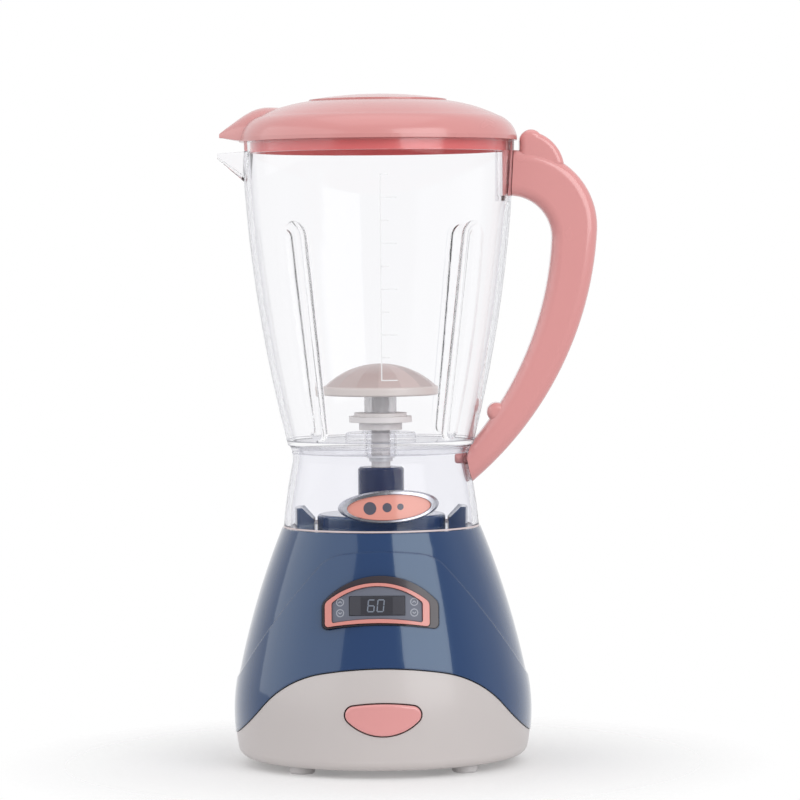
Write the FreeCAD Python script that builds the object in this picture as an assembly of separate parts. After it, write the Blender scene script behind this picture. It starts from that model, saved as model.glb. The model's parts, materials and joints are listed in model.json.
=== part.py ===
import FreeCAD, Part
import math
import os

from FreeCAD import Vector

# Toy blender: a battery-driven base, a clear jug with a handle, and a lift-off lid.
# Millimetres, +Z up. The origin is where the drive axis meets the table; the control
# panel faces -Y, the handle is at +X and the pouring spout at -X.

# ---- walls, seams and clearances ----
housing_wall = 2.0
clear_wall = 1.6
lid_wall = 1.8
seam = 0.3                 # open line between the two base shells
seat_gap = 0.1             # between pieces that are fitted together and stay together
slide_gap = 0.3            # between pieces that move past each other
bearing_gap = 0.05         # round shaft in its bush

# ---- heights, from the table up ----
foot_height = 2.0
floor_thickness = 2.4
base_height = 58.0         # underside of the base to its deck
plateau_height = 3.4
collar_height = 21.0
jar_height = 77.0
lid_height = 10.2          # rim of the jar to the top of the lid's dome
cap_rise = 1.8

deck_z = foot_height + base_height
floor_z = foot_height + floor_thickness
plateau_z = deck_z + plateau_height
collar_top_z = deck_z + collar_height
rim_z = collar_top_z + jar_height
lid_top_z = rim_z + lid_height
cap_top_z = lid_top_z + cap_rise

# ---- base shells ----
belly_radius = 37.5
belly_z = 13.5
underside_inset = 3.9      # these four are taken off the belly's radius
heel_inset = 0.8
flank_inset = 1.2
neck_inset = 5.8
heel_height = 2.8
flank_z = 24.0
neck_z = 42.0
deck_radius = 25.3
raised_field = 0.4         # lower field of the navy shell stands this proud
# from the middle outwards, the line where the shells meet and the upper edge of the raised field
skirt_line = [(0.0, 27.4), (15.0, 26.0), (30.0, 16.9), (41.0, 4.4)]
field_line = [(0.0, 55.6), (10.0, 54.85), (15.5, 51.9), (41.0, 14.5)]
lip_height = 2.0
lip_thickness = 1.2
underside_radius = belly_radius - underside_inset
heel_radius = belly_radius - heel_inset
flank_radius = belly_radius - flank_inset
neck_radius = belly_radius - neck_inset
plateau_radius = 16.3
lug_inner_radius = 17.8
lug_outer_radius = 22.0
lug_height = 5.2
lug_toe_height = 2.2
lug_sweep = 34.0           # degrees

# ---- feet and housing screws ----
foot_radius = 3.2
foot_stem_radius = 1.5
foot_stem_height = 1.6
foot_x = 20.3
foot_y = 22.0
boss_radius = 3.0
boss_x = 13.0
boss_y = 25.0
boss_top_z = 19.0
post_top_z = 35.4
web_low_z = 30.2           # above the lower shell's lip
web_thickness = 2.4
web_reach = 12.0
screw_radius = 1.2
screw_head_radius = 2.3
screw_head_height = 1.4
housing_screw_length = 24.0

# ---- batteries and their bay ----
cell_radius = 7.25
cell_length = 50.5
cell_nub_radius = 2.7
cell_nub_length = 1.0
cell_spacing = 14.8
contact_room = 2.5         # from a cell's end to the bay's end wall
bay_shift_x = -2.0
bay_wall = 1.2
cell_clearance = 0.2
door_thickness = 1.6
door_head_height = 0.9
door_ledge = 1.8
door_ear_radius = 3.6
door_boss_height = 8.0
door_screw_reach = 6.0     # past the lower shell's floor
hook_half_width = 2.8
contact_thickness = 0.4
contact_width = 6.0
contact_height = 10.0
contact_side = 4.0         # from a cell's axis to the side of its plate

# ---- push button and switch ----
button_arch_radius = 49.0  # upper edge
button_crown = 3.4         # from the button's centre up to the top of its arch
button_shoulder = 2.2
button_bow_radius = 12.4   # lower edge
button_bow_drop = 4.5      # from the button's centre down to the bowed edge
button_z = 15.5
button_proud = 0.9
button_travel = 1.5
button_edge = 0.7
button_flange = 1.2
button_flange_lip = 1.3
button_stem_radius = 2.0
button_stem_length = 5.4
guide_thickness = 1.2
guide_gap = 0.1
guide_rib_x = 5.3
guide_rib_thickness = 1.4
spring_wire_radius = 0.25
spring_turns = 3
spring_room = 0.1
switch_width = 7.0
switch_height = 7.0
switch_depth = 4.5
board_thickness = 1.2
board_height = 15.0
board_slot_depth = 0.6
plunger_radius = 1.2
plunger_engaged = 1.0

# ---- control panel ----
panel_z = 37.7             # lower edge of the frame
panel_lean = 9.0           # degrees back from upright
panel_proud = 0.7
panel_bow_radius = 50.0
frame_width = 25.9
frame_side = 6.0
frame_rise = 10.8          # lower edge to the top of the arch
frame_sag = 0.9            # the lower edge bows up by this
frame_side_band = 1.7
frame_top_band = 0.8
frame_foot_band = 1.0
panel_shift_x = -1.25
bezel_left = 0.6
bezel_right = 2.2
bezel_top = 1.8
bezel_foot = 0.5
bezel_depth = 7.5
bezel_step = 0.8
bezel_corner = (2.4, 1.2)  # upper pair, lower pair
frame_corner = (1.8, 0.8)
opening_corner = (1.0, 0.5)
pocket_depth = 3.4
display_step = 0.5
window_width = 13.6
window_height = 4.6
window_foot = 2.9
window_depth = 0.8
window_step = 0.25

# ---- motor and drive ----
motor_radius = 10.05
motor_flats = 15.1
motor_length = 25.0
motor_nose_radius = 3.0
motor_nose_height = 1.5
motor_cap_length = 3.0
motor_shaft_radius = 1.0
armature_radius = 6.5
can_wall = 0.8
plateau_top_thickness = 1.8
bracket_thickness = 2.0
bracket_rim = 1.4
bracket_grip = 4.0
bracket_screw_x = 15.5
bracket_boss_radius = 2.8
bracket_screw_length = 8.0
cup_radius = 5.85
cup_height = 11.4
cup_floor = 4.6
cup_lift = 0.4             # above the plateau
dog_flats = 4.2            # hexagon on the end of the blade's shaft

# ---- collar and jar ----
collar_foot_radius = 24.9
collar_mid_radius = 23.9
collar_mid_height = 8.5
collar_waist_radius = 22.4
collar_waist_height = 17.0
collar_top_radius = 23.2
spigot_depth = 2.0
jar_foot_radius = 23.6
jar_mid_radius = 31.2
jar_mid_height = 38.5
jar_rim_radius = 34.6
jar_floor_rise = 1.2
floor_boss_radius = 9.0
floor_boss_height = 2.0
flute_angle = 45.8         # degrees from the handle's plane
flute_turn = 3.0           # all four, round the axis
flute_low_z = 84.5
flute_high_z = 133.5
flute_low_radius = 2.5
flute_high_radius = 4.0
flute_low_depth = 0.9
flute_high_depth = 1.5
notch_depth = 2.4
spout_reach = 40.9
spout_half_width = 8.5
spout_drop = 11.0          # rim to the spout's root below it
spout_tip_rise = 1.3
spout_wall = 1.3

# ---- handle ----
handle_thickness = 10.6
handle_edge = 2.8
thumb_edge = 1.6
grip_outer_centre = (36.0, 136.0)
grip_outer_radius = 19.4
grip_inner_centre = (33.2, 133.2)
grip_inner_radius = 10.7
grip_lean = 3.4            # degrees that the bends run on past upright
grip_foot_z = 68.5
grip_foot_height = 9.0
grip_root_depth = 3.6      # how far the arm's root runs in past the rim's radius
grip_foot_depth = 2.9      # and the foot past the collar's waist
thumb_centre = (38.7, 157.7)
thumb_radius = 2.9
thumb_slope = 51.0         # degrees
thumb_length = 9.6
thumb_bulge = 1.2
thumb_root_depth = 6.0
thumb_inset = 0.5          # narrower than the grip, each side
finger_stop_centre = (29.5, 89.0)
finger_stop_radius = 2.45
finger_stop_inset = 0.8
tenon_half_width = 4.0
tenon_thickness = 1.8
tenon_inner_x = 31.3
tenon_foot_z = 143.9
neck_half_width = 2.4
socket_wall = 1.3
peg_radius = 1.3
peg_drop = 1.8             # below the jar's spigot
peg_reach = 2.0            # inside the collar's wall
peg_root = 2.2             # past the collar's waist, inside the grip

# ---- badge ----
badge_half_width = 12.9
badge_half_height = 4.1
badge_side_band = 2.3
badge_level_band = 0.85
badge_side_draft = 0.45    # the rim widens by this for each millimetre towards the collar
badge_level_draft = 0.2
badge_z = 66.5
badge_turn = 4.8           # degrees round the collar
badge_tilt = 2.5           # degrees, right end up
badge_proud = 1.4
badge_step = 0.45

# ---- blade and its shaft ----
shaft_radius = 2.4
bush_wall = 1.2
bush_flange = 1.1
bush_flange_height = 0.3
flange_steps = [(5.5, 1.9), (8.0, 1.5), (6.7, 0.9)]
spacer_radius = 4.1
spacer_height = 4.5
pin_radius = 2.0
pin_depth = 3.0
clip_radius = 3.6
clip_height = 1.1
blade_radius = 14.7
blade_rim = 2.3
blade_height = 8.0
blade_panels = 15
blade_ledge = 0.5          # rim to the foot of the dome's panels
blade_turn = 16.0          # degrees

# ---- lid ----
brim_radius = 35.3
brim_height = 1.0
lid_shoulder_radius = 30.5
lid_shoulder_height = 6.4
plug_depth = 2.8
plug_wall = 1.6
plug_notch_half_width = 7.5
cap_radius = 17.5
cap_seat = 0.9
cap_edge = 0.35            # how far the cap's edge stands above the lid
# sections of the beak: reach from the axis, half width, foot and ridge above the rim
beak_sections = [(24.0, 13.0, 0.0, 8.7), (30.2, 10.0, 0.1, 8.5), (33.3, 8.0, 0.2, 7.2),
                 (35.6, 6.0, 0.4, 5.7), (38.5, 2.8, 0.9, 3.6), (40.3, 1.0, 1.15, 2.2)]

ORIGIN = Vector(0, 0, 0)
AXIS_X = Vector(1, 0, 0)
AXIS_Y = Vector(0, 1, 0)
AXIS_Z = Vector(0, 0, 1)
FAR = 240.0                # cutting blocks reach this far, past every surface


# ---- shape helpers ----
def outline(start, *runs):
    """Closed wire: a run of one point is a straight line, a run of two is an arc through both."""
    edges = []
    here = start
    for run in runs:
        if len(run) == 1:
            edges.append(Part.LineSegment(here, run[0]).toShape())
        else:
            edges.append(Part.Arc(here, run[0], run[1]).toShape())
        here = run[-1]
    if (here - start).Length > 1e-6:
        edges.append(Part.LineSegment(here, start).toShape())
    return Part.Wire(edges)


def upright(points):
    """Points (x, z) in the plane of the drive axis and the handle."""
    return [Vector(x, 0, z) for x, z in points]


def bends(start, way, ends):
    """Arcs (middle, end) that run on smoothly from start, which they leave in the direction way."""
    here = Vector(start[0], 0, start[1])
    heading = Vector(way[0], 0, way[1]).normalize()
    runs = []
    for x, z in ends:
        end = Vector(x, 0, z)
        chord = end - here
        side = Vector(-heading.z, 0, heading.x)
        radius = chord.Length ** 2 / (2 * chord.dot(side))
        centre = here + side * radius
        outward = ((here + end) * 0.5 - centre).normalize()
        middle = centre + outward * abs(radius)
        runs.append([(middle.x, middle.z), (x, z)])
        heading = (chord * (2 * chord.dot(heading) / chord.Length ** 2) - heading).normalize()
        here = end
    return runs


def crown(radius, low_z, top_z):
    """Run that closes a profile with a ball's cap, from (radius, low_z) to the axis at top_z."""
    rise = top_z - low_z
    ball = (radius ** 2 + rise ** 2) / (2 * rise)
    middle = radius * 0.5
    return [(middle, top_z - ball + math.sqrt(ball ** 2 - middle ** 2)), (0, top_z)]


def turned(start, *runs, angle=360):
    """Solid of revolution about the drive axis, from an outline of (radius, z)."""
    wire = outline(upright([start])[0], *[upright(run) for run in runs])
    return Part.Face(wire).revolve(ORIGIN, AXIS_Z, angle)


def through(wire, low_y, high_y):
    """Prism of an upright outline, from low_y to high_y."""
    face = Part.Face(wire)
    face.translate(Vector(0, low_y, 0))
    return face.extrude(Vector(0, high_y - low_y, 0))


def cylinder(radius, low_z, high_z, x=0.0, y=0.0):
    return Part.makeCylinder(radius, high_z - low_z, Vector(x, y, low_z), AXIS_Z)


def rod_y(radius, low_y, high_y, x, z):
    return Part.makeCylinder(radius, high_y - low_y, Vector(x, low_y, z), AXIS_Y)


def tube(outer, inner, low_z, high_z):
    return cylinder(outer, low_z, high_z).cut(cylinder(inner, low_z, high_z))


def block(low, high):
    size = [b - a for a, b in zip(low, high)]
    return Part.makeBox(*size, Vector(*low))


def hexagon(flats, low_z, high_z):
    corner = flats / 2 / math.cos(math.radians(30))
    points = [Vector(corner * math.cos(math.radians(60 * k)), corner * math.sin(math.radians(60 * k)), low_z)
              for k in range(7)]
    return Part.Face(Part.makePolygon(points)).extrude(Vector(0, 0, high_z - low_z))


def joined(shapes):
    """The shapes as one solid with no leftover seams."""
    first, rest = shapes[0], list(shapes[1:])
    whole = first.fuse(rest) if rest else first
    return whole.removeSplitter()


def group(shapes):
    """Separate solids kept in one node."""
    return Part.makeCompound(shapes)


def corners(x, y):
    """The four mirrored places of (x, y)."""
    return [(sx * x, sy * y) for sx in (-1, 1) for sy in (-1, 1)]


def turned_copy(shape, degrees):
    copy = shape.copy()
    copy.rotate(ORIGIN, AXIS_Z, degrees)
    return copy


def screw(x, y, low_z, high_z, head_height=screw_head_height):
    """Screw driven upwards: its head starts at low_z and its tip is at high_z."""
    head = cylinder(screw_head_radius, low_z, low_z + head_height, x, y)
    return joined([head, cylinder(screw_radius, low_z, high_z, x, y)])


# ---- base: the two outer shells ----
def base_form(grow=0.0):
    """The base's bell, solid, with its wall moved outwards by grow."""
    heel_z = foot_height + heel_height
    bend = (underside_radius + 0.72 * (heel_radius - underside_radius), foot_height + 0.3 * heel_height)
    return turned(
        (0, foot_height),
        [(underside_radius + grow, foot_height)],
        [(bend[0] + grow, bend[1]), (heel_radius + grow, heel_z)],
        [(belly_radius + grow, belly_z), (flank_radius + grow, flank_z)],
        [(neck_radius + grow, neck_z), (deck_radius + grow, deck_z)],
        [(0, deck_z)],
    )


def core_form(inset):
    """Room inside the bell's wall, in straight steps; inset is the wall's thickness."""
    steps = [(heel_radius, foot_height), (heel_radius, foot_height + heel_height), (belly_radius, belly_z),
             (flank_radius, flank_z), (neck_radius, neck_z), (deck_radius, deck_z)]
    return turned((0, foot_height), *[[(radius - inset, z)] for radius, z in steps], [(0, deck_z)])


def base_radius_at(z):
    """Radius of the base's wall at a height."""
    ring = base_form().slice(AXIS_Z, z)[0]
    return ring.BoundBox.XMax


def below(line, shift=0.0):
    """Everything below a mirrored line that runs through the base from front to back."""
    moved = [(x, z + shift) for x, z in line]
    right = bends(moved[0], (1, 0), moved[1:])
    starts = moved[:-1]
    left = [[(-mid[0], mid[1]), (-start[0], start[1])]
            for (mid, _), start in reversed(list(zip(right, starts)))]
    end_x, end_z = moved[-1]
    runs = [upright([(-end_x, end_z)])] + [upright(run) for run in left + right] + [upright([(end_x, -FAR)])]
    return through(outline(Vector(-end_x, 0, -FAR), *runs), -FAR, FAR)


def cavity():
    """Room inside the two shells, from the floor to the deck."""
    room = cylinder(FAR, floor_z, deck_z - housing_wall)
    return core_form(housing_wall).common(room)


def window_outline(left, right, foot, side, top, sag):
    """Loaf-shaped outline of the control panel, in its own upright plane."""
    middle = (left + right) / 2
    return outline(
        Vector(left, 0, foot),
        [Vector(middle, 0, foot + sag), Vector(right, 0, foot)],
        [Vector(right, 0, side)],
        [Vector(middle, 0, top), Vector(left, 0, side)],
    )


def panel_layer(outline_wire, front, back):
    """A layer of the control panel: its front is bowed, its back is flat."""
    bow = Part.makeCylinder(panel_bow_radius - front, FAR, Vector(0, panel_bow_radius, -FAR / 2), AXIS_Z)
    return through(outline_wire, -panel_bow_radius, back).common(bow)


def panel_edges(shrink_side=0.0, shrink_foot=0.0, shrink_top=0.0):
    """Outline of the frame, or of what lies inside it."""
    left = -frame_width / 2 + shrink_side
    right = frame_width / 2 - shrink_side
    return window_outline(left, right, shrink_foot, frame_side, frame_rise - shrink_top, frame_sag)


def bezel_edges(grow=0.0):
    left = -frame_width / 2 - bezel_left - grow
    right = frame_width / 2 + bezel_right + grow
    return window_outline(left, right, -bezel_foot - grow, frame_side + grow,
                          frame_rise + bezel_top + grow, frame_sag)


def rounded(shape, corner, grow=0.0):
    """Round the through corners of a panel layer; corner holds the upper and the lower radius."""
    for radius, upper in zip(corner, (True, False)):
        picked = [e for e in shape.Edges if e.BoundBox.ZLength < 0.01 and e.BoundBox.XLength < 0.01
                  and (e.BoundBox.ZMin > frame_side / 3) == upper]
        shape = shape.makeFillet(radius + grow, picked)
    return shape


def on_panel(shape):
    """Carry a shape from the panel's own plane to its place on the base."""
    placed = shape.copy()
    placed.rotate(ORIGIN, AXIS_X, -panel_lean)
    front = base_radius_at(panel_z) + raised_field + panel_proud
    placed.translate(Vector(panel_shift_x, -front, panel_z))
    return placed


def bracket_z():
    """Underside of the motor, where the bracket's plate starts downwards."""
    return plateau_z - plateau_top_thickness - motor_length


def upper_housing():
    """Navy shell with its raised lower field, plateau, lugs, screw posts and panel window."""
    skin = base_form().fuse(base_form(raised_field).common(below(field_line)))
    shell = skin.cut(cavity())
    plateau = cylinder(plateau_radius, deck_z - housing_wall, plateau_z)
    plateau = plateau.makeFillet(0.8, [e for e in plateau.Edges if e.BoundBox.ZMin > plateau_z - 0.01])
    lug = turned(
        (lug_inner_radius, deck_z - 0.5),
        [(lug_inner_radius, deck_z + lug_toe_height)],
        [(lug_outer_radius - 1.2, deck_z + lug_height)],
        [(lug_outer_radius, deck_z + lug_height)],
        [(lug_outer_radius, deck_z - 0.5)],
        angle=lug_sweep,
    )
    lugs = [turned_copy(lug, start - lug_sweep / 2) for start in (0, 180)]
    posts = []
    for x, y in corners(boss_x, boss_y):
        post = cylinder(boss_radius, boss_top_z, post_top_z, x, y)
        reach = Part.makeBox(web_reach, web_thickness, post_top_z - web_low_z,
                             Vector(0, -web_thickness / 2, web_low_z))
        reach.rotate(ORIGIN, AXIS_Z, math.degrees(math.atan2(y, x)))
        reach.translate(Vector(x, y, 0))
        posts.append(joined([post, reach]).common(core_form(housing_wall / 2)))
    ears = [cylinder(bracket_boss_radius, bracket_z(), deck_z - housing_wall / 2, side * bracket_screw_x)
            for side in (-1, 1)]
    whole = joined([shell, plateau] + lugs + ears)
    whole = joined([whole.cut(below(skirt_line, seam / 2))] + posts)
    hollow = cylinder(motor_radius + seat_gap, deck_z - housing_wall - 1, plateau_z - plateau_top_thickness)
    nose = cylinder(motor_nose_radius + seat_gap, deck_z, plateau_z + 1)
    window = through(bezel_edges(seat_gap), -panel_bow_radius, bezel_depth + 1)
    window = on_panel(rounded(window, bezel_corner, seat_gap))
    cuts = [hollow, nose, window]
    for x, y in corners(boss_x, boss_y):
        cuts.append(cylinder(screw_radius, boss_top_z, housing_screw_length + foot_height + 1, x, y))
    for side in (-1, 1):
        top = bracket_z() + bracket_screw_length - bracket_thickness + 0.5
        cuts.append(cylinder(screw_radius, bracket_z(), top, side * bracket_screw_x))
    return whole.cut(cuts)


def shell_band(outer, inner, low, high):
    """Ring-shaped wall that follows the skirt line between two heights beside it."""
    ring = core_form(outer).cut(core_form(inner))
    return ring.common(below(skirt_line, high)).cut(below(skirt_line, low))


# ---- battery bay ----
bay_half_length = cell_length / 2 + contact_room
bay_half_width = cell_spacing / 2 + cell_radius + cell_clearance
bay_low_x = bay_shift_x - bay_half_length
bay_high_x = bay_shift_x + bay_half_length
door_rib_z = floor_z + cell_clearance
cell_z = door_rib_z + cell_radius
bay_top_z = cell_z + cell_radius + cell_clearance
ear_x = bay_high_x + bay_wall + door_ear_radius - 1.2


def door_plate(grow, low_z, high_z):
    """The battery door's outline with its screw ear, as a plate."""
    plate = block((bay_low_x + bay_wall / 2 - grow, -bay_half_width - grow, low_z),
                  (bay_high_x + grow, bay_half_width + grow, high_z))
    ear = cylinder(door_ear_radius + grow, low_z, high_z, ear_x)
    neck = block((bay_high_x - 1, -door_ear_radius - grow, low_z), (ear_x, door_ear_radius + grow, high_z))
    return joined([plate, neck, ear])


def lower_housing():
    """Grey shell with its lip, floor, battery bay, button mouth, switch ribs and bosses."""
    skirt = base_form(raised_field / 2).common(below(skirt_line, -seam / 2))
    shell = skirt.cut(cavity())
    outer_lip = housing_wall + seat_gap
    lip = shell_band(outer_lip, outer_lip + lip_thickness, -3.0, lip_height)
    root = shell_band(housing_wall - 0.4, outer_lip + lip_thickness, -3.0, -1.0)
    inside = cylinder(FAR, floor_z, deck_z)
    bay = block((bay_low_x - bay_wall, -bay_half_width - bay_wall, floor_z - 0.5),
                (bay_high_x + bay_wall, bay_half_width + bay_wall, bay_top_z + bay_wall))
    bay = bay.common(core_form(housing_wall + seam))
    bosses = [cylinder(boss_radius, floor_z - 0.5, boss_top_z, x, y) for x, y in corners(boss_x, boss_y)]
    door_boss = cylinder(2 * screw_radius, floor_z - 0.5, floor_z + door_boss_height, ear_x)
    guide = block((-guide_rib_x - guide_rib_thickness, guide_y, floor_z - 0.5),
                  (guide_rib_x + guide_rib_thickness, guide_y + guide_thickness, button_z + 4.0))
    half_rib = guide_rib_thickness / 2
    ribs = [block((side * (guide_rib_x + half_rib) - half_rib, guide_y, floor_z - 0.5),
                  (side * (guide_rib_x + half_rib) + half_rib, -bay_half_width - bay_wall / 2, button_z + 2.0))
            for side in (-1, 1)]
    inner = joined([bay, door_boss, guide] + bosses + ribs)
    whole = joined([shell, lip.common(inside), root.common(inside), inner.common(core_form(housing_wall / 2))])
    cuts = [
        block((bay_low_x, -bay_half_width, floor_z), (bay_high_x, bay_half_width, bay_top_z)),
        block((bay_low_x + door_ledge, -bay_half_width + door_ledge, 0),
              (bay_high_x - door_ledge, bay_half_width - door_ledge, floor_z + 1)),
        door_plate(seat_gap, 0, foot_height + door_thickness),
        cylinder(screw_radius, 0, floor_z + door_screw_reach + 1.0, ear_x),
        button_prism(slide_gap, -FAR, flange_back_y + button_travel),
        rod_y(button_stem_radius + guide_gap, guide_y - 1, guide_y + guide_thickness + 1, 0, button_z),
        block((-guide_rib_x - board_slot_depth, board_y - seat_gap / 2, floor_z),
              (guide_rib_x + board_slot_depth, board_y + board_thickness + seat_gap / 2, FAR)),
    ]
    for x, y in corners(boss_x, boss_y):
        cuts.append(cylinder(screw_radius + 0.2, 0, boss_top_z, x, y))
        cuts.append(cylinder(screw_head_radius + 0.3, 0, foot_height + screw_head_height + 0.4, x, y))
    for x, y in corners(foot_x, foot_y):
        cuts.append(cylinder(foot_stem_radius, 0, foot_height + foot_stem_height, x, y))
    return whole.cut(cuts)


def battery_door():
    """Door with three cell ribs, a hook at one end and a screwed ear at the other."""
    top = foot_height + door_thickness
    plate = door_plate(0, foot_height, top)
    ribs = [block((bay_shift_x + x - 0.6, -bay_half_width + door_ledge + 1, top - 0.2),
                  (bay_shift_x + x + 0.6, bay_half_width - door_ledge - 1, door_rib_z)) for x in (-16, 0, 16)]
    stem = block((bay_low_x + door_ledge + seat_gap, -hook_half_width, top - 0.2),
                 (bay_low_x + door_ledge + 1.6, hook_half_width, floor_z + 1.1))
    toe = block((bay_low_x + 0.5, -hook_half_width, floor_z + seat_gap),
                (bay_low_x + door_ledge + 1.6, hook_half_width, floor_z + 1.1))
    door = joined([plate, stem, toe] + ribs)
    return door.cut([cylinder(screw_radius + 0.2, 0, FAR, ear_x),
                     cylinder(screw_head_radius + 0.2, 0, foot_height + door_head_height + 0.1, ear_x)])


def battery_door_screw():
    return screw(ear_x, 0, foot_height + 0.1, floor_z + door_screw_reach, door_head_height)


def housing_screws():
    low = foot_height + 0.4
    return group([screw(x, y, low, foot_height + housing_screw_length) for x, y in corners(boss_x, boss_y)])


def feet():
    """Four soft pads, each with a stem pressed into the floor."""
    pads = []
    for x, y in corners(foot_x, foot_y):
        pad = cylinder(foot_radius, 0, foot_height, x, y)
        pad = pad.makeChamfer(0.4, [e for e in pad.Edges if e.BoundBox.ZMax < 0.01])
        stem = cylinder(foot_stem_radius, foot_height - 0.5, foot_height + foot_stem_height, x, y)
        pads.append(joined([pad, stem]))
    return group(pads)


def batteries():
    """Two round cells side by side, laid opposite ways."""
    cells = []
    for side in (-1, 1):
        y = side * cell_spacing / 2
        low = bay_shift_x - cell_length / 2
        can_length = cell_length - cell_nub_length
        if side > 0:
            can_x, nub_x = low + cell_nub_length, low
        else:
            can_x, nub_x = low, low + can_length
        can = Part.makeCylinder(cell_radius, can_length, Vector(can_x, y, cell_z), AXIS_X)
        nub = Part.makeCylinder(cell_nub_radius, cell_nub_length, Vector(nub_x, y, cell_z), AXIS_X)
        cells.append(joined([can, nub]))
    return group(cells)


def contact(side, low_y, high_y, leaves):
    """Contact plate on an end wall of the bay, with a bent leaf against each cell."""
    wall_x = bay_high_x - seat_gap if side > 0 else bay_low_x + seat_gap
    face_x = wall_x - side * contact_thickness
    half = contact_height / 2
    plate = block((min(wall_x, face_x), low_y, cell_z - half), (max(wall_x, face_x), high_y, cell_z + half))
    tip_x = bay_shift_x + side * (cell_length / 2 + seat_gap)
    foot, nose, fold = 0.8 * half, 0.16 * half, 0.64 * half
    bent = []
    for y in leaves:
        points = [(face_x, cell_z - foot), (tip_x, cell_z - nose), (tip_x, cell_z + nose),
                  (face_x, cell_z + foot), (face_x, cell_z + fold),
                  (tip_x + side * contact_thickness, cell_z), (face_x, cell_z - fold)]
        wire = outline(Vector(points[0][0], 0, points[0][1]), *[upright([p]) for p in points[1:]])
        bent.append(through(wire, y - contact_width / 2, y + contact_width / 2))
    return joined([plate] + bent)


def battery_contacts():
    """One bridge behind both cells and one plate for each pole at the other end."""
    y = cell_spacing / 2
    bridge = contact(-1, -y - contact_side, y + contact_side, [-y, y])
    poles = [contact(1, side * y - contact_side, side * y + contact_side, [side * y]) for side in (-1, 1)]
    return group([bridge] + poles)


# ---- push button ----
button_face = base_radius_at(button_z)
arch_z = button_crown - button_arch_radius
bow_z = button_bow_radius - button_bow_drop
shoulder_z = ((button_arch_radius - button_shoulder) ** 2 - (button_bow_radius - button_shoulder) ** 2
              - arch_z ** 2 + bow_z ** 2) / (2 * (bow_z - arch_z))
shoulder_x = math.sqrt((button_bow_radius - button_shoulder) ** 2 - (shoulder_z - bow_z) ** 2)
flange_half = shoulder_x + button_shoulder + button_flange_lip
flange_y = seat_gap - math.sqrt((flank_radius - housing_wall) ** 2 - flange_half ** 2)
flange_back_y = flange_y + button_flange
stem_end_y = flange_back_y + button_stem_length
guide_y = stem_end_y - guide_thickness - 0.8
switch_y = stem_end_y + button_travel + 1.9
board_y = switch_y + switch_depth


def button_prism(grow, low_y, high_y):
    """The button's outline: a shallow arch, round shoulders and a bowed lower edge."""
    high_turn = math.atan2(shoulder_z - arch_z, shoulder_x)
    low_turn = math.atan2(shoulder_z - bow_z, shoulder_x)
    radius = button_shoulder + grow

    def on_shoulder(side, angle):
        x = side * (shoulder_x + radius * math.cos(angle))
        return (x, button_z + shoulder_z + radius * math.sin(angle))

    middle = (high_turn + low_turn) / 2
    wire = outline(
        upright([on_shoulder(-1, high_turn)])[0],
        upright([(0, button_z + button_crown + grow), on_shoulder(1, high_turn)]),
        upright([on_shoulder(1, middle), on_shoulder(1, low_turn)]),
        upright([(0, button_z - button_bow_drop - grow), on_shoulder(-1, low_turn)]),
        upright([on_shoulder(-1, middle), on_shoulder(-1, high_turn)]),
    )
    return through(wire, low_y, high_y)


def push_button():
    """Cap that follows the wall, a flange behind it and a stem that reaches the switch."""
    front = cylinder(button_face + button_proud, 0, deck_z)
    cap = button_prism(0, -FAR, flange_y + 0.2).common(front)
    face = min(cap.Faces, key=lambda f: f.CenterOfMass.y)
    cap = cap.makeFillet(button_edge, face.Edges)
    flange = button_prism(button_flange_lip, flange_y, flange_back_y)
    stem = rod_y(button_stem_radius, flange_back_y - 0.5, stem_end_y, 0, button_z)
    return joined([cap, flange, stem])


def switch_plunger():
    return rod_y(plunger_radius, stem_end_y, switch_y + plunger_engaged, 0, button_z)


def switch_body():
    """Push switch in front of its board; its plunger hole runs the full travel deep."""
    body = block((-switch_width / 2, switch_y, button_z - switch_height / 2),
                 (switch_width / 2, board_y, button_z + switch_height / 2))
    body = body.makeChamfer(0.4, [e for e in body.Edges if e.BoundBox.YMax < switch_y + 0.01])
    depth = plunger_engaged + button_travel + slide_gap
    return body.cut(rod_y(plunger_radius + bearing_gap, switch_y - 1, switch_y + depth, 0, button_z))


def switch_board():
    half = guide_rib_x + board_slot_depth - seat_gap
    return block((-half, board_y, floor_z), (half, board_y + board_thickness, floor_z + board_height))


def button_spring():
    """Coil round the stem, between the flange and the guide wall."""
    radius = button_stem_radius + spring_wire_radius + 0.3
    length = guide_y - flange_back_y - 2 * (spring_wire_radius + spring_room)
    helix = Part.makeHelix(length / spring_turns, length, radius)
    wire_corners = [Vector(radius + spring_wire_radius * math.cos(math.radians(60 * k)), 0,
                           spring_wire_radius * math.sin(math.radians(60 * k))) for k in range(7)]
    coil = Part.Wire(helix.Edges).makePipeShell([Part.makePolygon(wire_corners)], True, True)
    coil.rotate(ORIGIN, AXIS_X, -90)
    coil.translate(Vector(0, flange_back_y + spring_wire_radius + spring_room, button_z))
    return coil


# ---- control panel ----
def panel_bezel():
    """Graphite tub that fills the shell's window and carries the frame."""
    tub = rounded(panel_layer(bezel_edges(), bezel_step, bezel_depth), bezel_corner)
    pocket = through(panel_edges(-seat_gap, -seat_gap, -seat_gap), -panel_bow_radius, pocket_depth)
    return on_panel(tub.cut(rounded(pocket, frame_corner, seat_gap)))


def panel_frame():
    """Coral frame, narrow above and wide at the sides."""
    outer = rounded(panel_layer(panel_edges(), 0, pocket_depth), frame_corner)
    hole = through(panel_edges(frame_side_band, frame_foot_band, frame_top_band), -panel_bow_radius, FAR)
    return on_panel(outer.cut(rounded(hole, opening_corner)))


def display_panel():
    """Grey face inside the frame, with a shallow seat for the display window."""
    edges = panel_edges(frame_side_band + seat_gap, frame_foot_band + seat_gap, frame_top_band + seat_gap)
    face = rounded(panel_layer(edges, display_step, pocket_depth), opening_corner, -seat_gap)
    return on_panel(face.cut(window_block(seat_gap, display_step + window_depth)))


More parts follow.
